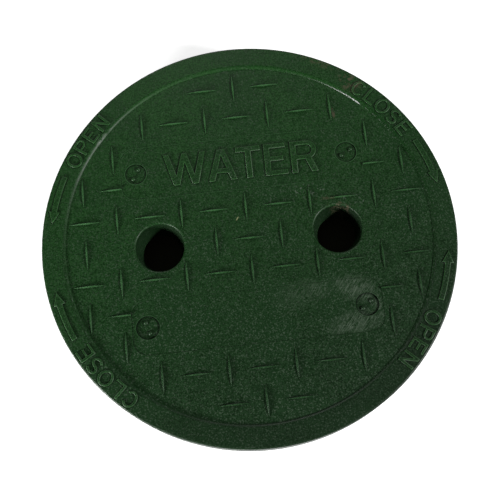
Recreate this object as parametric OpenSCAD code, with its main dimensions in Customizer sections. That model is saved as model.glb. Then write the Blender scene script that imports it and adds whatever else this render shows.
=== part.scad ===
// Round twist-lock cover for a small valve box, moulded in one piece.
// The origin is at the centre of the ring the cover stands on, with the tread side up (+Z).
// +X runs through both finger holes, and the word pads lie at +Y and -Y. Sizes are in millimetres.

/* [Cover] */
// Outside diameter over the rim
cover_d = 161.9; // [150:0.1:180]
// Overall height, from the foot of the lock ring to the rim
cover_h = 25.4; // [22:0.1:32]
// Diameter of the sunk tread field inside the raised rim
field_d = 143.2; // [138:0.1:148]
// How far the tread field lies below the rim
field_drop = 0.9; // [0.5:0.1:1.5]
// Wall thickness of the top plate under the tread field
plate_t = 3.2; // [2.4:0.1:4.5]
// Radius of the rounded top and bottom edges of the rim
edge_r = 0.8; // [0.4:0.1:1.2]
// Width of the rounded step down from the rim to the field
step_w = 1.6; // [1:0.1:2.5]

/* [Tread] */
// Step of the square lattice that the tread lugs lie on
pitch = 12.7; // [12:0.1:14]
// Length of a lug, point to point
lug_l = 12.9; // [10:0.1:14]
// Width of a lug at its middle
lug_w = 1.15; // [1:0.05:2]
// Height of a lug at its middle
lug_h = 0.8; // [0.5:0.05:0.9]
// Angle between a lug's side and the field
lug_side = 70; // [60:1:80]
// Angle between the field and the bevel along each side of a lug's crest
lug_bevel = 35; // [25:1:45]

/* [Finger holes] */
// Distance between the two hole centres
hole_spacing = 69.85; // [66:0.05:74]
// Diameter of a hole at its straight land
hole_d = 19.05; // [16:0.05:22]
// Radius of the rounded lip of a hole
lip_r = 0.8; // [0.4:0.1:1.2]
// Length of the straight land
land_l = 2; // [1.5:0.1:2.4]
// Diameter of the hole at the lower end of its tube
tube_end_d = 15.2; // [13:0.1:19]
// Depth of the tube below the tread field
tube_l = 10; // [8:0.1:11]
// Wall thickness of the tube
tube_wall = 2.2; // [1.6:0.1:2.5]

/* [Word pads] */
// Length of a pad along X
pad_l = 96.5; // [90:0.5:100]
// Width of a pad along Y
pad_w = 21.4; // [20:0.1:25]
// Corner radius of a pad
pad_r = 6; // [3:0.5:8]
// Distance of a pad's middle from the cover's centre
pad_y = 31.1; // [29:0.05:32]
// Depth of the pad at +Y
pad_drop_back = 0.06; // [0.02:0.01:0.3]
// Depth of the pad at -Y
pad_drop_front = 0.16; // [0.02:0.01:0.4]
// Width of the fine flash line round the pad at +Y and round each mark
flash_w = 0.3; // [0.2:0.05:0.5]
// Height of the flash line
flash_h = 0.06; // [0.02:0.01:0.2]

/* [Spanner-head marks] */
// Distance of a mark from the Y axis
mark_x = 42.1; // [38:0.1:43]
// Diameter of a mark on the pad at +Y
mark_d_back = 8.5; // [7:0.1:10]
// Diameter of a mark on the pad at -Y
mark_d_front = 9.2; // [7:0.1:10]
// Depth of a mark below the pad at +Y
mark_drop_back = 0.35; // [0.2:0.05:0.6]
// Depth of a mark below the pad at -Y
mark_drop_front = 0.6; // [0.2:0.05:0.8]
// Distance between the two pips in a mark
pip_spacing = 4.4; // [3:0.1:5]
// Diameter of a pip
pip_d = 1.9; // [1:0.1:2.2]
// Height of a pip above the floor of its mark
pip_h = 0.9; // [0.2:0.05:0.95]

/* [Skirt] */
// Height of the outer skirt
skirt_h = 12.7; // [8:0.1:16]
// Wall thickness of the skirt
skirt_t = 2.8; // [2:0.1:3.5]

/* [Lock ring] */
// Outside diameter of the lock ring
ring_d = 139.7; // [136:0.1:142]
// Wall thickness of the lock ring
ring_t = 2.8; // [2.2:0.1:3.5]
// Number of lock tabs
tab_count = 4; // [2:1:4]
// How far a tab stands out of the ring
tab_reach = 3.6; // [2:0.1:4]
// Height of a tab
tab_h = 3; // [2:0.1:4]
// Angle that a tab covers
tab_angle = 26; // [16:1:32]
// Height of the stop at the closed end of a tab
stop_h = 5; // [4:0.1:6]

/* [Ribs] */
// Number of radial ribs
rib_count = 8; // [8:4:16]
// Thickness of a rib where it meets the plate
rib_t = 2.2; // [1.6:0.1:2.8]
// Thickness of a rib at its free edge
rib_edge_t = 1.5; // [1:0.1:1.6]
// Radius of the inner ring rib, at its middle
hub_rib_r = 21.5; // [18:0.1:22]
// Radius of the outer ring rib, at its middle
mid_rib_r = 48.2; // [47:0.1:52]

/* [Hidden] */
$fn = 180;
eps = 0.01;
field_z = cover_h - field_drop;
under_z = field_z - plate_t;
step_r = (step_w * step_w + field_drop * field_drop) / (2 * field_drop);
hole_x = hole_spacing / 2;
ring_r = ring_d / 2;
skirt_in_r = cover_d / 2 - skirt_t;

// The crest and bevels of a lug would run out this much past the points where its sides meet
crest_over = 0.6;
// Place of a bevel's middle, from the lug's middle and from its top
bevel_in = 0.27;
bevel_down = 0.1;

// Lattice rows and columns on each side of the centre, and how far out a lug may stand
lattice_n = 5;
lattice_reach = 5.45;

// What stands on a surface is rooted this deep in it
root = 0.4;

tube_z = field_z - tube_l;
pad_back_z = field_z - pad_drop_back;
pad_front_z = field_z - pad_drop_front;
mark_back_z = pad_back_z - mark_drop_back;
mark_front_z = pad_front_z - mark_drop_front;

// Place of each mark, the level of its pad and its floor, its diameter and the turn of its pips
marks = [
    [[-mark_x, pad_y], pad_back_z, mark_back_z, mark_d_back, 60],
    [[mark_x, pad_y], pad_back_z, mark_back_z, mark_d_back, 30],
    [[-mark_x, -pad_y], pad_front_z, mark_front_z, mark_d_front, -71.5],
    [[mark_x, -pad_y], pad_front_z, mark_front_z, mark_d_front, 37],
];

// Round quarter: the area between a corner at the origin and a circle that touches both legs
module corner_waste(r) {
    difference() {
        translate([-1, -1]) square(r + 1);
        translate([r, r]) circle(r, $fn = 48);
        translate([r, -2]) square([2, r + 4]);
        translate([-2, r]) square([r + 4, 2]);
    }
}

// Area above the rounded step between the field and the rim
module step_waste() {
    difference() {
        translate([field_d / 2 - 1, field_z]) square([step_w + 1, field_drop + 1]);
        translate([field_d / 2 + step_w, cover_h - step_r]) circle(step_r);
    }
}

// Section of the plate, rim and skirt to the right of the axis
module shell_section() {
    difference() {
        union() {
            translate([0, under_z]) square([cover_d / 2, plate_t]);
            translate([field_d / 2, field_z - eps]) square([(cover_d - field_d) / 2, field_drop + eps]);
            translate([skirt_in_r, cover_h - skirt_h]) square([skirt_t, skirt_h]);
        }
        translate([cover_d / 2, cover_h]) rotate(180) corner_waste(edge_r);
        step_waste();
        translate([cover_d / 2, cover_h - skirt_h]) rotate(90) corner_waste(edge_r);
    }
}

module shell() {
    rotate_extrude() shell_section();
}

// Ball whose skin leans by tilt at the point [0, y, z] and meets the field at both ends of a chord along X
module lug_ball(chord, y, z, tilt) {
    r = (chord * chord / 4 + y * y + z * z) / (2 * (y * sin(tilt) + z * cos(tilt)));
    translate([0, y - r * sin(tilt), z - r * cos(tilt)]) sphere(r);
}

// One lug along X, pointed in plan and arched, with steep sides and a bevelled crest over the origin
module lug() {
    intersection() {
        translate([-lug_l, -lug_w, -root]) cube([lug_l * 2, lug_w * 2, root + lug_h * 2]);
        lug_ball(lug_l + crest_over, 0, lug_h, 0);
        intersection_for (s = [-1, 1]) {
            lug_ball(lug_l + crest_over, s * bevel_in, lug_h - bevel_down, s * lug_bevel);
        }
        intersection_for (s = [-1, 1]) {
            lug_ball(lug_l, s * lug_w / 2, 0, s * lug_side);
        }
    }
}

// A lug stands at a lattice point that the rim, the pads and the finger holes leave free
function near_hole(a, b) = b == 0 && abs(a) > 1 && abs(a) < 5;
function on_pad(a, b) = abs(b) > 1 && abs(b) < 4 && abs(a) < 4;
function has_lug(a, b) = norm([a, b]) < lattice_reach && !near_hole(a, b) && !on_pad(a, b);

// Lugs point along X and along Y by turns
module tread() {
    for (a = [-lattice_n : lattice_n], b = [-lattice_n : lattice_n]) {
        if (has_lug(a, b)) {
            turn = (abs(a + b) % 2) * 90;
            translate([a * pitch, b * pitch, field_z]) rotate(turn) lug();
        }
    }
}

// Outline of a pad, grown all round by the given width
module pad_outline(grow) {
    straight_x = pad_l / 2 - pad_r;
    straight_y = pad_w / 2 - pad_r;
    square([pad_l + grow * 2, straight_y * 2], center = true);
    square([straight_x * 2, pad_w + grow * 2], center = true);
    for (sx = [-1, 1], sy = [-1, 1]) {
        translate([sx * straight_x, sy * straight_y]) circle(pad_r + grow, $fn = 64);
    }
}

// Space above the floor of a pad
module pad_space(drop) {
    translate([0, 0, field_z - drop]) linear_extrude(drop + field_drop * 2) pad_outline(0);
}

// Raised line left by the joint round the plate that forms the pad
module pad_flash() {
    translate([0, 0, field_z - root]) linear_extrude(root + flash_h) pad_outline(flash_w);
}

module mark_flash(d, pad_z) {
    translate([0, 0, pad_z - root]) cylinder(h = root + flash_h, d = d + flash_w * 2, $fn = 64);
}

module mark_space(d, floor_z) {
    translate([0, 0, floor_z]) cylinder(h = 2, d = d, $fn = 64);
}

// Two round-topped pips side by side in a mark
module pips(floor_z, turn) {
    pip_ball = (pip_d * pip_d / 4 + pip_h * pip_h) / (2 * pip_h);
    for (s = [-1, 1]) {
        rotate(turn) translate([s * pip_spacing / 2, 0, floor_z]) {
            intersection() {
                translate([0, 0, pip_h - pip_ball]) sphere(pip_ball, $fn = 48);
                translate([0, 0, -root]) cylinder(h = 2, d = pip_d, $fn = 48);
            }
        }
    }
}

// Tube round a finger hole, and the hole with its lip, land and taper
module hole_tube() {
    translate([0, 0, tube_z]) {
        cylinder(h = tube_l - plate_t / 2, r1 = tube_end_d / 2 + tube_wall, r2 = hole_d / 2 + tube_wall);
    }
}

module hole_space() {
    taper_top = field_z - lip_r - land_l;
    rotate_extrude() {
        difference() {
            translate([0, field_z - lip_r - eps]) square([hole_d / 2 + lip_r, lip_r * 2]);
            translate([hole_d / 2 + lip_r, field_z - lip_r]) circle(lip_r, $fn = 64);
        }
        translate([0, taper_top - eps]) square([hole_d / 2, land_l + eps * 2]);
        polygon([
            [0, 0],
            [tube_end_d / 2, 0],
            [tube_end_d / 2, tube_z],
            [hole_d / 2, taper_top],
            [0, taper_top],
        ]);
    }
}

// One tab with a chamfer for the way in, a ramp at its leading end, and the stop that rises at its closed end
module lock_tab() {
    lead = tab_h / 2;
    ramp_angle = 12;
    stop_angle = 4;
    stop_inset = 0.4;
    difference() {
        rotate_extrude(angle = tab_angle) {
            polygon([
                [ring_r - ring_t / 2, 0],
                [ring_r + tab_reach - lead, 0],
                [ring_r + tab_reach, lead],
                [ring_r + tab_reach, tab_h],
                [ring_r - ring_t / 2, tab_h],
            ]);
        }
        translate([ring_r, 0, lead]) rotate([ramp_angle, 0, 0]) {
            translate([0, -ring_t, 0]) cube([tab_reach * 2, tab_reach * 2 + ring_t, tab_h]);
        }
    }
    rotate(tab_angle - stop_angle - stop_inset) {
        rotate_extrude(angle = stop_angle) {
            translate([ring_r - ring_t / 2, lead]) {
                square([ring_t / 2 + tab_reach - stop_inset, tab_h - lead + stop_h]);
            }
        }
    }
}

// Wall of the ring, straight outside, with draft inside and a chamfered foot
module ring_section() {
    draft = 0.4;
    foot = 0.5;
    polygon([
        [ring_r, 0],
        [ring_r, under_z + eps],
        [ring_r - ring_t - draft, under_z + eps],
        [ring_r - ring_t, foot],
        [ring_r - ring_t + foot, 0],
    ]);
}

module lock_ring() {
    rotate_extrude() ring_section();
    for (k = [0 : tab_count - 1]) {
        rotate(45 + k * 360 / tab_count - tab_angle / 2) lock_tab();
    }
}

// Section of a rib, thinner at its free edge, with its foot sunk into the plate
module rib_section() {
    polygon([
        [-rib_edge_t / 2, tube_z],
        [rib_edge_t / 2, tube_z],
        [rib_t / 2, under_z],
        [rib_t / 2, under_z + eps],
        [-rib_t / 2, under_z + eps],
        [-rib_t / 2, under_z],
    ]);
}

module ring_rib(r) {
    rotate_extrude() translate([r, 0]) rib_section();
}

module radial_rib() {
    rotate([90, 0, 90]) linear_extrude(ring_r - ring_t / 2) rib_section();
}

module ribs() {
    for (k = [0 : rib_count - 1]) {
        rotate(k * 360 / rib_count) radial_rib();
    }
    ring_rib(hub_rib_r);
    ring_rib(mid_rib_r);
}

// The two word pads are sunk plates, and the one at +Y has a flash line round it
module pads() {
    translate([0, pad_y, 0]) pad_space(pad_drop_back);
    translate([0, -pad_y, 0]) pad_space(pad_drop_front);
}

module top() {
    difference() {
        union() {
            shell();
            tread();
            translate([0, pad_y, 0]) pad_flash();
        }
        pads();
    }
    for (m = marks) {
        translate(m[0]) mark_flash(m[3], m[1]);
    }
}

module underside() {
    lock_ring();
    ribs();
    for (s = [-1, 1]) {
        translate([s * hole_x, 0, 0]) hole_tube();
    }
}

module cover() {
    color([0.15, 0.27, 0.16]) {
        difference() {
            union() {
                top();
                underside();
            }
            for (s = [-1, 1]) {
                translate([s * hole_x, 0, 0]) hole_space();
            }
            for (m = marks) {
                translate(m[0]) mark_space(m[3], m[2]);
            }
        }
        for (m = marks) {
            translate(m[0]) pips(m[2], m[4]);
        }
    }
}

cover();
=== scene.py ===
import math
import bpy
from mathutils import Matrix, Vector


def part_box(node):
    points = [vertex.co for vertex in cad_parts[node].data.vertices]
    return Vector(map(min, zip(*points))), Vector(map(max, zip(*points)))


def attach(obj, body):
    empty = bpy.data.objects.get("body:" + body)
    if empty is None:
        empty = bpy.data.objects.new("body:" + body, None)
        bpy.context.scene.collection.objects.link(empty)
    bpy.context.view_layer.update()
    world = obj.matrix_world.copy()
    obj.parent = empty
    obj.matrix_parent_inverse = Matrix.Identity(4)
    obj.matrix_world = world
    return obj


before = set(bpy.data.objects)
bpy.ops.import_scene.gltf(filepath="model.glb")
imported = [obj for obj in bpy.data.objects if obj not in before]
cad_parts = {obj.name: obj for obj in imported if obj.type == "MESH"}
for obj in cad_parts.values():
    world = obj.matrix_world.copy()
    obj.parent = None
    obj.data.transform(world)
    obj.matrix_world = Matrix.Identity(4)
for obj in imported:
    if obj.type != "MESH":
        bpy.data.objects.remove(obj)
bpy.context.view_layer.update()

from types import SimpleNamespace

import bpy
from mathutils import Matrix, Vector

# Levels of the cover, from the frame, in metres: the rim, the field below it and the back pad below that

MM = 0.001
RIM_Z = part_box("cover")[1][2]
FIELD_Z = RIM_Z - 0.9 * MM
PAD_BACK_Z = FIELD_Z - 0.06 * MM

# Raised words and arrows, in metres, with strokes as a share of a letter's height

WORD_H = 0.5 * MM
WORD_SINK = 0.3 * MM
WORD_ROUND = 0.33 * MM
PAD_CAP = 13.4 * MM
PAD_BASE_Y = 24.5 * MM
RIM_CAP = 6.4 * MM
RIM_BASE_R = 73.4 * MM
ARROW_R = 77.25 * MM
SHAFT_W = 2.25 * MM
HEAD_W = 4.5 * MM
STEM = 0.182
BAR = 0.152

# Left edge of each letter on the back pad, and its width, in mm

PAD_WORD = (("W", -30.9, 17.2), ("A", -13.4, 11.5), ("T", -1.8, 9.9), ("E", 9.4, 9.0), ("R", 20.0, 10.5))

# Middle of each letter on the rim, in degrees, and its width in mm

CLOSE_WORD = (("C", 48.45, 5.55), ("L", 43.85, 4.7), ("O", 39.35, 6.05), ("S", 34.6, 4.85), ("E", 30.1, 4.9))
OPEN_WORD = (("O", 149.2, 6.0), ("P", 144.4, 4.9), ("E", 140.0, 4.7), ("N", 135.2, 5.1))

# Tail, head base and tip of each arrow, in degrees

CLOSE_ARROW = (25.15, 14.15, 10.2)
OPEN_ARROW = (154.9, 166.0, 169.7)

# Camera, in metres, found by laying the cover's outline and lugs over the photo

CAMERA_AT = Vector((-5.2, -96.8, 368.5)) * MM
CAMERA_AHEAD = Vector((0.01399, 0.25796, -0.96605))
IMAGE_RIGHT = Vector((0.99413, -0.10728, -0.01425))
LENS_MM = 66.0


# Letter outlines, one unit high and w wide: first the outer line, then any hole

def arc(cx, cy, rx, ry, start, end, steps):
    """Points on an ellipse from one angle to another, in degrees."""
    turns = [math.radians(start + (end - start) * k / steps) for k in range(steps + 1)]
    return [(cx + rx * math.cos(t), cy + ry * math.sin(t)) for t in turns]


def stroke(points, width):
    """Outline of a line of constant width drawn along the points."""
    left, right = [], []
    for k, here in enumerate(points):
        before = Vector(points[max(k - 1, 0)])
        after = Vector(points[min(k + 1, len(points) - 1)])
        side = (after - before).normalized() * width / 2
        left.append((here[0] - side.y, here[1] + side.x))
        right.append((here[0] + side.y, here[1] - side.x))
    return left + right[::-1]


def letter_w(w):
    left = [(0, 1), (STEM, 1), (0.29 * w, 0.306), (0.5 * w - 0.082, 1)]
    feet = [(0.79 * w, 0), (0.645 * w, 0), (0.5 * w, 0.694), (0.355 * w, 0), (0.21 * w, 0)]
    return [left + [(w - x, y) for x, y in left[::-1]] + feet]


def letter_a(w):
    outer = [(0, 0), (0.365 * w, 1), (0.635 * w, 1), (w, 0), (0.78 * w, 0)]
    outer += [(0.69 * w, 0.239), (0.31 * w, 0.239), (0.22 * w, 0)]
    return [outer, [(0.5 * w, 0.806), (0.36 * w, 0.388), (0.64 * w, 0.388)]]


def letter_t(w):
    left, right = (w - STEM) / 2, (w + STEM) / 2
    top = 1 - 1.1 * BAR
    return [[(0, 1), (w, 1), (w, top), (right, top), (right, 0), (left, 0), (left, top), (0, top)]]


def letter_e(w):
    low, high = 0.52 - BAR / 2, 0.52 + BAR / 2
    outer = [(0, 0), (w, 0), (w, BAR), (STEM, BAR), (STEM, low), (0.85 * w, low)]
    outer += [(0.85 * w, high), (STEM, high), (STEM, 1 - BAR), (0.97 * w, 1 - BAR)]
    return [outer + [(0.97 * w, 1), (0, 1)]]


def bowl(w, r, end):
    """Outer bow of a P or an R."""
    return arc(w - r, 1 - r, r, r, 90, end, 18)


def bowl_hole(w, r):
    inner = r - 0.95 * BAR
    return [(STEM, 1 - r - inner)] + arc(w - r, 1 - r, inner, inner, -90, 90, 12) + [(STEM, 1 - r + inner)]


def letter_r(w):
    leg = [(w, 0), (w - 1.1 * STEM, 0), (0.55 * w, 0.403), (STEM, 0.403), (STEM, 0)]
    return [[(0, 0), (0, 1)] + bowl(w, 0.2985, -62) + leg, bowl_hole(w, 0.2985)]


def letter_p(w):
    return [[(0, 0), (0, 1)] + bowl(w, 0.2985, -90) + [(STEM, 0.403), (STEM, 0)], bowl_hole(w, 0.2985)]


def letter_n(w):
    outer = [(0, 0), (0, 1), (STEM, 1), (w - STEM, 0.3), (w - STEM, 1), (w, 1)]
    return [outer + [(w, 0), (w - STEM, 0), (STEM, 0.7), (STEM, 0)]]


def letter_l(w):
    return [[(0, 0), (0, 1), (STEM, 1), (STEM, BAR), (w, BAR), (w, 0)]]


def letter_o(w):
    outer = arc(w / 2, 0.5, w / 2, 0.515, 0, 350, 35)
    return [outer, arc(w / 2, 0.5, w / 2 - STEM, 0.515 - BAR, 0, 350, 35)]


def letter_c(w):
    outer = arc(w / 2, 0.5, w / 2, 0.515, 36, 324, 34)
    return [outer + arc(w / 2, 0.5, w / 2 - STEM, 0.515 - BAR, 318, 42, 28)]


def letter_s(w):
    rx, ry = (w - STEM) / 2, (1.02 - BAR) / 4
    upper = arc(w / 2, 0.5 + ry, rx, ry, 28, 262, 22)
    lower = arc(w / 2, 0.5 - ry, rx, ry, 82, -152, 22)
    return [stroke(upper + lower, 1.08 * BAR)]


LETTERS = {"W": letter_w, "A": letter_a, "T": letter_t, "E": letter_e, "R": letter_r, "P": letter_p,
           "N": letter_n, "L": letter_l, "O": letter_o, "C": letter_c, "S": letter_s}


def arrow_outline(tail, base, tip):
    """Bent arrow in the rim's own x and y."""
    outer, inner = ARROW_R + SHAFT_W / 2, ARROW_R - SHAFT_W / 2
    back = arc(0, 0, inner, inner, tail, base, 10)
    ahead = arc(0, 0, outer, outer, base, tail, 10)
    head = [(ARROW_R - HEAD_W / 2, base), (ARROW_R, tip), (ARROW_R + HEAD_W / 2, base)]
    return [back + [(r * math.cos(math.radians(a)), r * math.sin(math.radians(a))) for r, a in head] + ahead]


# Raised pieces on the cover

def raised(name, outlines, place, plastic):
    """A flat shape that stands on the cover with rounded upper edges, its foot sunk in the plate."""
    curve = bpy.data.curves.new(name, "CURVE")
    curve.dimensions = "2D"
    curve.fill_mode = "FRONT"
    curve.extrude = (WORD_H + WORD_SINK) / 2 - WORD_ROUND
    curve.bevel_depth = WORD_ROUND
    curve.bevel_resolution = 3
    curve.offset = -WORD_ROUND
    for outline in outlines:
        spline = curve.splines.new("POLY")
        spline.points.add(len(outline) - 1)
        spline.use_cyclic_u = True
        for point, (x, y) in zip(spline.points, outline):
            point.co = (x, y, 0, 1)
    shape = bpy.data.objects.new(name, curve)
    mesh = bpy.data.meshes.new_from_object(shape)
    bpy.data.objects.remove(shape)
    bpy.data.curves.remove(curve)
    mesh.name = name
    mesh.transform(place)
    mesh.materials.clear()
    mesh.materials.append(plastic)
    piece = bpy.data.objects.new(name, mesh)
    bpy.context.collection.objects.link(piece)
    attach(piece, "root")


def level(z):
    """Moves a shape so that it stands WORD_H above z."""
    return Matrix.Translation((0, 0, z + (WORD_H - WORD_SINK) / 2))


def letter_lines(letter, width, cap, left, base):
    """A letter's outlines at its real size, with its lower left corner at the given place."""
    return [[(x * cap + left, y * cap + base) for x, y in line] for line in LETTERS[letter](width / cap)]


def build_pad_word(plastic):
    for letter, left, width in PAD_WORD:
        outlines = letter_lines(letter, width * MM, PAD_CAP, left * MM, PAD_BASE_Y)
        raised("pad_letter_" + letter.lower(), outlines, level(PAD_BACK_Z), plastic)


def build_rim_word(word, side, plastic):
    for letter, middle, width in word:
        outlines = letter_lines(letter, width * MM, RIM_CAP, -width * MM / 2, RIM_BASE_R)
        angle = middle + side
        turn = Matrix.Rotation(math.radians(angle - 90), 4, "Z")
        raised("rim_letter_%s_%d" % (letter.lower(), round(angle)), outlines, level(RIM_Z) @ turn, plastic)


def build_rim_marks(plastic):
    """The two words and the two arrows, once on each side of the rim."""
    for side in (0, 180):
        turn = Matrix.Rotation(math.radians(side), 4, "Z")
        build_rim_word(CLOSE_WORD, side, plastic)
        build_rim_word(OPEN_WORD, side, plastic)
        for name, arrow in (("close", CLOSE_ARROW), ("open", OPEN_ARROW)):
            raised("rim_arrow_%s_%d" % (name, side), arrow_outline(*arrow), level(RIM_Z) @ turn, plastic)


# Node helpers

class Nodes:
    """A node tree, with short calls for the nodes that are used most."""

    def __init__(self, tree):
        self.tree = tree
        tree.nodes.clear()

    def put(self, socket, value):
        """Links another node's output to a socket, or sets the socket's own value."""
        if isinstance(value, bpy.types.NodeSocket):
            self.tree.links.new(value, socket)
        else:
            socket.default_value = value

    def add(self, kind, *values, **named):
        """Adds a node and fills its sockets, the first ones in order and others by name."""
        node = self.tree.nodes.new(kind)
        for place, value in enumerate(values):
            self.put(node.inputs[place], value)
        for name, value in named.items():
            self.put(node.inputs[name], value)
        return node

    def math(self, operation, first, second=0.0):
        node = self.add("ShaderNodeMath", first, second)
        node.operation = operation
        return node.outputs[0]

    def total(self, first, *others):
        for value in others:
            first = self.math("ADD", first, value)
        return first

    def times(self, first, *others):
        for value in others:
            first = self.math("MULTIPLY", first, value)
        return first

    def most(self, first, *others):
        for value in others:
            first = self.math("MAXIMUM", first, value)
        return first

    def rise(self, value, low, high, at_low=0.0, at_high=1.0):
        """Goes smoothly from one amount to another as the value goes from low to high."""
        node = self.add("ShaderNodeMapRange", value, low, high, at_low, at_high)
        node.interpolation_type = "SMOOTHSTEP"
        node.clamp = True
        return node.outputs[0]

    def fall(self, value, low, high):
        return self.rise(value, low, high, 1.0, 0.0)

    def band(self, value, rise_from, rise_to, fall_from, fall_to):
        """One between two limits, with a soft edge on each side."""
        return self.times(self.rise(value, rise_from, rise_to), self.fall(value, fall_from, fall_to))

    def noise(self, where, scale, detail, roughness=0.5, distortion=0.0):
        node = self.add("ShaderNodeTexNoise", Vector=where, Scale=scale, Detail=detail,
                        Roughness=roughness, Distortion=distortion)
        return node.outputs[0]

    def mix(self, amount, under, over):
        """Lays one colour over another by the amount."""
        node = self.tree.nodes.new("ShaderNodeMix")
        node.data_type = "RGBA"
        for place, value in ((0, amount), (6, under), (7, over)):
            self.put(node.inputs[place], value)
        return node.outputs[2]

    def shifted(self, where, move):
        return self.add("ShaderNodeMapping", Vector=where, Location=move).outputs[0]

    def local(self, where, x, y, rx, ry, turn=0.0):
        """Coordinates in mm turned and scaled so that the given ellipse is the unit circle."""
        node = self.add("ShaderNodeMapping", Vector=where, Location=(x * MM, y * MM, 0),
                        Rotation=(0, 0, math.radians(turn)), Scale=(rx * MM, ry * MM, 1000.0))
        node.vector_type = "TEXTURE"
        return node.outputs[0]

    def length(self, vector):
        node = self.add("ShaderNodeVectorMath", vector)
        node.operation = "LENGTH"
        return node.outputs["Value"]

    def reach(self, where, x, y):
        """Distance from an upright axis, in mm."""
        return self.length(self.local(where, x, y, 1, 1))

    def spot(self, where, x, y, rx, ry, turn, soft, strength):
        """Its strength inside an ellipse in mm, falling to nothing over the soft share of it."""
        inside = self.fall(self.length(self.local(where, x, y, rx, ry, turn)), 1.0 - soft, 1.0)
        return self.times(inside, strength)

    def spots(self, where, places):
        return self.most(*[self.spot(where, *place) for place in places])

    def occlusion(self, distance, inside=False):
        """How open a point is; inside, how thick the same piece is behind it."""
        node = self.add("ShaderNodeAmbientOcclusion", Distance=distance)
        node.samples = 8
        node.inside = inside
        node.only_local = inside
        return node.outputs["AO"]


def rgb(r, g, b):
    return (r, g, b, 1.0)


def new_material(name):
    material = bpy.data.materials.new(name)
    material.use_nodes = True
    return material, Nodes(material.node_tree)


# Colours of the plastic, of what lies on it, of the painted highlights and painted shade on it, and of the
# ground with its painted shade under the cover

# Grain colours painted as lit at the back and as in shade at the front
DARK_GRAIN_BACK_LIT = rgb(0.0030, 0.0260, 0.0028)
DARK_GRAIN_FRONT_SHADED = rgb(0.0016, 0.0110, 0.0018)
LIGHT_GRAIN_BACK_LIT = rgb(0.0155, 0.0650, 0.0140)
LIGHT_GRAIN_FRONT_SHADED = rgb(0.0100, 0.0325, 0.0105)
PATCH_GREEN = rgb(0.0060, 0.0290, 0.0070)
MOTTLE_GREEN = rgb(0.0065, 0.0210, 0.0072)
FRONT_RIM_GREEN = rgb(0.0025, 0.0105, 0.0030)
CREST_HIGHLIGHT_GREEN = rgb(0.040, 0.118, 0.040)
WORD_EDGE_HIGHLIGHT_GREEN = rgb(0.052, 0.160, 0.045)
STEP_EDGE_HIGHLIGHT_GREEN = rgb(0.036, 0.110, 0.032)
WORN_GREY = rgb(0.060, 0.092, 0.058)
SCUFF_GREY = rgb(0.088, 0.122, 0.084)
SCRATCH_GREY = rgb(0.055, 0.085, 0.057)
FOOT_SHADE = rgb(0.0035, 0.0085, 0.0038)
HOLE_WALL_DARK = rgb(0.0045, 0.0100, 0.0050)
SOIL_BROWN = rgb(0.080, 0.066, 0.040)
DUST_GREY = rgb(0.100, 0.130, 0.098)
FLECK_PALE = rgb(0.24, 0.26, 0.13)
GROUND_WHITE = rgb(0.8, 0.8, 0.8)
GROUND_UNDER_COVER_SHADE = rgb(0.160, 0.160, 0.100)
PURE_WHITE = rgb(1, 1, 1)

# Marks on the plastic: centre and half sizes in mm, turn in degrees, soft share of the edge, strength

SCUFFS = ((39.0, -24.5, 13.0, 6.5, -20.0, 0.8, 1.0),
          (36.5, -37.5, 14.0, 6.0, 8.0, 0.8, 1.0),
          (19.0, -24.0, 17.0, 7.0, 6.0, 0.9, 0.5),
          (46.5, -31.0, 3.0, 11.0, 0.0, 0.8, 0.8))
SOIL = ((47.5, 60.5, 7.0, 5.0, -40.0, 0.8, 1.0),
        (36.0, 71.5, 16.0, 3.6, -27.0, 0.9, 0.55),
        (37.5, 9.0, 6.5, 2.6, -12.0, 0.8, 0.9),
        (32.0, 12.8, 6.0, 0.9, 0.0, 0.8, 0.5),
        (39.3, 48.5, 0.8, 3.4, 5.0, 0.6, 0.9))
DUST = ((25.0, 17.0, 13.0, 5.0, 0.0, 0.8, 1.0),
        (44.0, 12.0, 8.0, 5.0, 0.0, 0.8, 1.0))
FLECK = (-3.8, 8.3, 1.1, 0.28, 55.0, 0.4, 0.8)

# Slope of the scuffs' scratches and of the stray ones, in degrees, and middle of a finger hole, in mm

SCRATCH_TURN = 52.0
STRAY_TURN = -14.0
HOLE_X = 34.925


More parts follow.
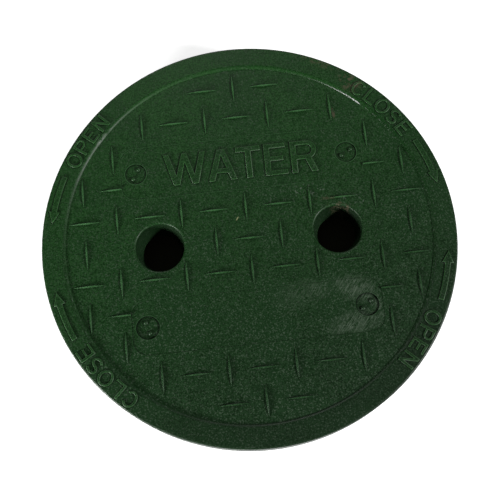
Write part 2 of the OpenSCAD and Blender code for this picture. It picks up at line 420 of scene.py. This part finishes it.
def plastic_places(n):
    """Coordinates, shared noises, and masks that say where on the cover a point is."""
    at = SimpleNamespace()
    at.where = n.add("ShaderNodeTexCoord").outputs["Object"]
    at.x, at.y, z = n.add("ShaderNodeSeparateXYZ", Vector=at.where).outputs[:]
    at.radius = n.reach(at.where, 0, 0)
    across = n.math("ABSOLUTE", at.x)
    along = n.math("ABSOLUTE", at.y)

    # The green goes from the back left to the front right as painted light and shade: lighter at the back,
    # painted shade at the front. The same ramp also thickens the wear toward the front.
    at.slant = n.math("SUBTRACT", n.times(at.x, 0.35), at.y)
    at.drift = n.rise(at.slant, -85.0 * MM, 85.0 * MM)
    at.grain = n.noise(at.where, scale=1900.0, detail=2.0, roughness=0.6)
    at.mottle = n.noise(at.where, scale=420.0, detail=3.0, roughness=0.6)
    at.patches = n.noise(at.where, scale=55.0, detail=3.0, roughness=0.55, distortion=0.4)

    # Tops of lugs and edges of raised parts, for a painted highlight that is partly wear, and edges of the
    # words, for a painted highlight
    in_field = n.fall(at.radius, 70.9, 71.6)
    crest = n.times(n.rise(z, FIELD_Z + 0.45 * MM, FIELD_Z + 0.72 * MM), in_field)
    thickness = n.occlusion(0.45 * MM, inside=True)
    at.ridges = n.most(crest, n.fall(thickness, 0.5, 0.95))
    word_place = n.times(n.band(at.y, 20.0 * MM, 21.0 * MM, 41.0 * MM, 42.0 * MM),
                         n.fall(across, 32.0 * MM, 33.0 * MM))
    on_pad_word = n.times(word_place, n.rise(z, FIELD_Z + 0.1 * MM, FIELD_Z + 0.3 * MM))
    on_rim_word = n.rise(z, RIM_Z + 0.1 * MM, RIM_Z + 0.3 * MM)
    at.word_edges = n.times(n.fall(thickness, 0.70, 0.99), n.most(on_pad_word, on_rim_word))

    # Corners at the foot of raised parts, wider on the pads and on the rim, where shade is painted dark
    openness = n.occlusion(1.3 * MM)
    pads = n.times(n.band(along, 20.0 * MM, 21.0 * MM, 41.0 * MM, 42.0 * MM),
                   n.fall(across, 47.6 * MM, 48.2 * MM))
    by_words = n.times(n.fall(openness, 0.62, 0.97), n.most(pads, n.rise(at.radius, 72.8, 73.4)))
    at.foot = n.most(n.fall(openness, 0.5, 0.92), by_words)

    # Walls of the two finger holes, below their lips
    holes = n.most(*[n.fall(n.reach(at.where, side * HOLE_X, 0), 9.5, 9.9) for side in (-1, 1)])
    at.in_hole = n.times(holes, n.fall(z, FIELD_Z - 1.1 * MM, FIELD_Z - 0.3 * MM))
    return at


def green_skin(n, at):
    """Dark and light grain over an uneven green, paler at the back than at the front, with the front painted
    in shade.
    """
    dark = n.mix(at.drift, DARK_GRAIN_BACK_LIT, DARK_GRAIN_FRONT_SHADED)
    light = n.mix(at.drift, LIGHT_GRAIN_BACK_LIT, LIGHT_GRAIN_FRONT_SHADED)
    colour = n.mix(n.rise(at.grain, 0.34, 0.66), dark, light)
    colour = n.mix(n.rise(at.patches, 0.38, 0.66, 0.0, 0.45), colour, PATCH_GREEN)
    return n.mix(n.rise(at.mottle, 0.30, 0.46, 0.30, 0.0), colour, MOTTLE_GREEN)


def worn_specks(n, at):
    """Pale specks, thin everywhere and thicker toward the front."""
    specks = n.noise(n.shifted(at.where, (0.3, 0.7, 0.1)), scale=1700.0, detail=1.0, roughness=0.6)
    share = n.total(n.times(at.drift, 0.35), n.rise(at.patches, 0.35, 0.7, 0.0, 0.4), 0.35)
    return n.times(n.rise(specks, 0.54, 0.70), share)


def front_rim(n, at):
    """The rim, where it is darker toward the front."""
    return n.times(n.rise(at.radius, 72.0, 73.0), n.rise(at.slant, 20.0 * MM, 80.0 * MM, 0.0, 0.36))


def scuff_marks(n, at):
    """Scuffs on the right end of the front pad, made of slanting scratches and some blots."""
    pad_end = n.times(n.fall(at.x, 47.0 * MM, 48.2 * MM), n.rise(at.y, -42.2 * MM, -41.2 * MM))
    slanting = n.local(at.where, 0, 0, 5.5, 0.32, SCRATCH_TURN)
    lines = n.rise(n.noise(slanting, scale=1.0, detail=3.0, roughness=0.75, distortion=0.2), 0.52, 0.58)
    blots = n.rise(n.noise(at.where, scale=330.0, detail=3.0, roughness=0.7), 0.40, 0.62)
    return n.times(n.spots(at.where, SCUFFS), pad_end, n.most(n.times(lines, 0.95), n.times(blots, 0.30)))


def stray_scratches(n, at):
    """Fine long scratches in a few places."""
    streaks = n.noise(n.local(at.where, 0, 0, 30.0, 0.6, STRAY_TURN), scale=1.0, detail=2.0,
                      roughness=0.6, distortion=0.2)
    places = n.rise(n.noise(at.where, scale=38.0, detail=2.0), 0.5, 0.62)
    return n.times(n.rise(streaks, 0.70, 0.76), places)


def brown_soil(n, at):
    """Crumbs of soil at the back right of the rim, by a lug and on the right hole's lip."""
    crumbs = n.rise(n.noise(at.where, scale=520.0, detail=4.0, roughness=0.7), 0.46, 0.60)
    return n.times(n.spots(at.where, SOIL), n.most(crumbs, n.times(at.foot, 0.8)))


def pale_dust(n, at):
    """Dust round the right hole."""
    grains = n.noise(n.shifted(at.where, (0.2, 0.1, 0.9)), scale=1200.0, detail=1.0)
    return n.times(n.rise(grains, 0.62, 0.70), n.spots(at.where, DUST))


def step_edge_highlight(n, at):
    """Painted highlight on the upper edge of the step up to the rim, at the back."""
    return n.times(n.band(at.radius, 71.5, 72.0, 72.3, 73.0), n.rise(at.y, 35.0 * MM, 65.0 * MM))


def step_polish(n, at):
    """How much smoother the step up to the rim is, most of all at the back right."""
    back_right = n.times(n.rise(at.x, -20.0 * MM, 20.0 * MM), n.rise(at.y, 0.0, 30.0 * MM))
    return n.times(n.band(at.radius, 71.2, 71.6, 72.8, 73.6), n.total(n.times(back_right, 0.13), 0.03))


def cover_plastic():
    """Matte dark green moulded plastic with grain, pale wear, scuffs, scratches, soil and dust, and painted
    highlights and painted shade.
    """
    material, n = new_material("cover_plastic")
    at = plastic_places(n)
    worn = worn_specks(n, at)
    scuffed = scuff_marks(n, at)
    soil = brown_soil(n, at)

    # What lies over the green, wear, soil and dust together with painted highlights and painted shade, from
    # the lowest layer to the topmost
    layers = ((n.times(worn, 0.60), WORN_GREY),
              (front_rim(n, at), FRONT_RIM_GREEN),
              (n.times(scuffed, 0.76), SCUFF_GREY),
              (n.times(stray_scratches(n, at), 0.4), SCRATCH_GREY),
              # painted highlight on lug tops and thin edges, partly wear, stronger toward the back
              (n.times(at.ridges, n.rise(at.drift, 0.2, 0.9, 0.78, 0.22)), CREST_HIGHLIGHT_GREEN),
              # painted highlight along the upper edges of the words and arrows
              (n.times(at.word_edges, 0.62), WORD_EDGE_HIGHLIGHT_GREEN),
              # painted shade in the corners at the foot of raised parts
              (n.times(at.foot, 0.88), FOOT_SHADE),
              # darker down the walls of the finger holes
              (n.times(at.in_hole, 0.62), HOLE_WALL_DARK),
              (n.times(soil, 0.88), SOIL_BROWN),
              (n.times(pale_dust(n, at), 0.7), DUST_GREY),
              (n.spot(at.where, *FLECK), FLECK_PALE),
              # painted highlight on the upper edge of the step at the back
              (n.times(step_edge_highlight(n, at), 0.18), STEP_EDGE_HIGHLIGHT_GREEN))
    colour = green_skin(n, at)
    for amount, tint in layers:
        colour = n.mix(amount, colour, tint)

    dull = n.most(worn, scuffed, soil)
    rough = n.total(n.rise(at.grain, 0.2, 0.8, 0.37, 0.50), n.times(dull, 0.20))
    rough = n.math("SUBTRACT", rough, step_polish(n, at))
    height = n.total(n.times(at.grain, 0.45), n.times(at.mottle, 0.55))
    height = n.math("SUBTRACT", height, n.times(scuffed, 0.25))
    bump = n.add("ShaderNodeBump", Strength=0.55, Distance=0.05 * MM, Height=height)
    shader = n.add("ShaderNodeBsdfPrincipled", Roughness=rough, Normal=bump.outputs[0])
    n.put(shader.inputs["Base Color"], colour)
    shader.inputs["Specular IOR Level"].default_value = 0.28
    shader.inputs["IOR"].default_value = 1.45
    n.add("ShaderNodeOutputMaterial", Surface=shader.outputs[0])
    return material


def white_ground():
    """White floor, painted dull olive under the cover as shade, where it shows through the finger holes."""
    material, n = new_material("white_ground")
    where = n.add("ShaderNodeTexCoord").outputs["Object"]
    open_floor = n.rise(n.reach(where, 0, 0), 68.5, 69.5)
    seen = n.add("ShaderNodeLightPath").outputs
    rays = n.most(seen["Is Camera Ray"], seen["Is Glossy Ray"], seen["Is Transmission Ray"])
    colour = n.mix(open_floor, GROUND_UNDER_COVER_SHADE, GROUND_WHITE)
    matte = n.add("ShaderNodeBsdfDiffuse", Color=colour)
    glow = n.add("ShaderNodeEmission", Color=PURE_WHITE, Strength=n.times(rays, open_floor, 0.7))
    both = n.add("ShaderNodeAddShader", matte.outputs[0], glow.outputs[0])
    n.add("ShaderNodeOutputMaterial", Surface=both.outputs[0])
    return material


# Stage: floor, world, lamps and camera

def build_floor():
    mesh = bpy.data.meshes.new("floor")
    half = 3.0
    corners = [(-half, -half, 0), (half, -half, 0), (half, half, 0), (-half, half, 0)]
    mesh.from_pydata(corners, [], [(0, 1, 2, 3)])
    floor = bpy.data.objects.new("floor", mesh)
    bpy.context.collection.objects.link(floor)
    mesh.materials.append(white_ground())


def build_world():
    world = bpy.data.worlds.new("studio")
    bpy.context.scene.world = world
    world.use_nodes = True
    n = Nodes(world.node_tree)
    sky = n.add("ShaderNodeBackground", Color=PURE_WHITE, Strength=0.05)
    n.add("ShaderNodeOutputWorld", Surface=sky.outputs[0])


def area_light(name, azimuth, elevation, distance, size, share):
    """A round lamp aimed at the cover. Its share is the light that it adds to a level white
    surface, where 1 is plain level."""
    data = bpy.data.lights.new(name, "AREA")
    data.shape = "DISK"
    data.size = size
    data.energy = share * (math.pi * distance) ** 2 / math.sin(math.radians(elevation))
    lamp = bpy.data.objects.new(name, data)
    a = math.radians(azimuth)
    e = math.radians(elevation)
    toward = Vector((math.cos(e) * math.cos(a), math.cos(e) * math.sin(a), math.sin(e)))
    lamp.location = Vector((0, 0, RIM_Z)) + toward * distance
    lamp.rotation_euler = (-toward).to_track_quat("-Z", "Y").to_euler()
    bpy.context.collection.objects.link(lamp)


def build_lights():
    area_light("key_right", azimuth=-24.0, elevation=31.0, distance=0.8, size=0.10, share=0.52)
    area_light("low_left", azimuth=216.0, elevation=13.0, distance=0.38, size=0.07, share=0.28)
    area_light("back_mid", azimuth=95.0, elevation=34.0, distance=0.45, size=0.15, share=0.12)


def build_camera():
    data = bpy.data.cameras.new("camera")
    data.sensor_width = 36.0
    data.lens = LENS_MM
    data.clip_start = 0.01
    camera = bpy.data.objects.new("camera", data)
    ahead = CAMERA_AHEAD.normalized()
    up = IMAGE_RIGHT.cross(ahead).normalized()
    right = ahead.cross(up)
    turn = Matrix((right, up, -ahead)).transposed()
    camera.matrix_world = Matrix.Translation(CAMERA_AT) @ turn.to_4x4()
    bpy.context.collection.objects.link(camera)
    bpy.context.scene.camera = camera


def dress_cover(plastic):
    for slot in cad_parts["cover"].material_slots:
        slot.material = plastic


bpy.context.scene.view_settings.view_transform = "Standard"
build_camera()
build_floor()
build_world()
build_lights()
plastic = cover_plastic()
dress_cover(plastic)
build_pad_word(plastic)
build_rim_marks(plastic)
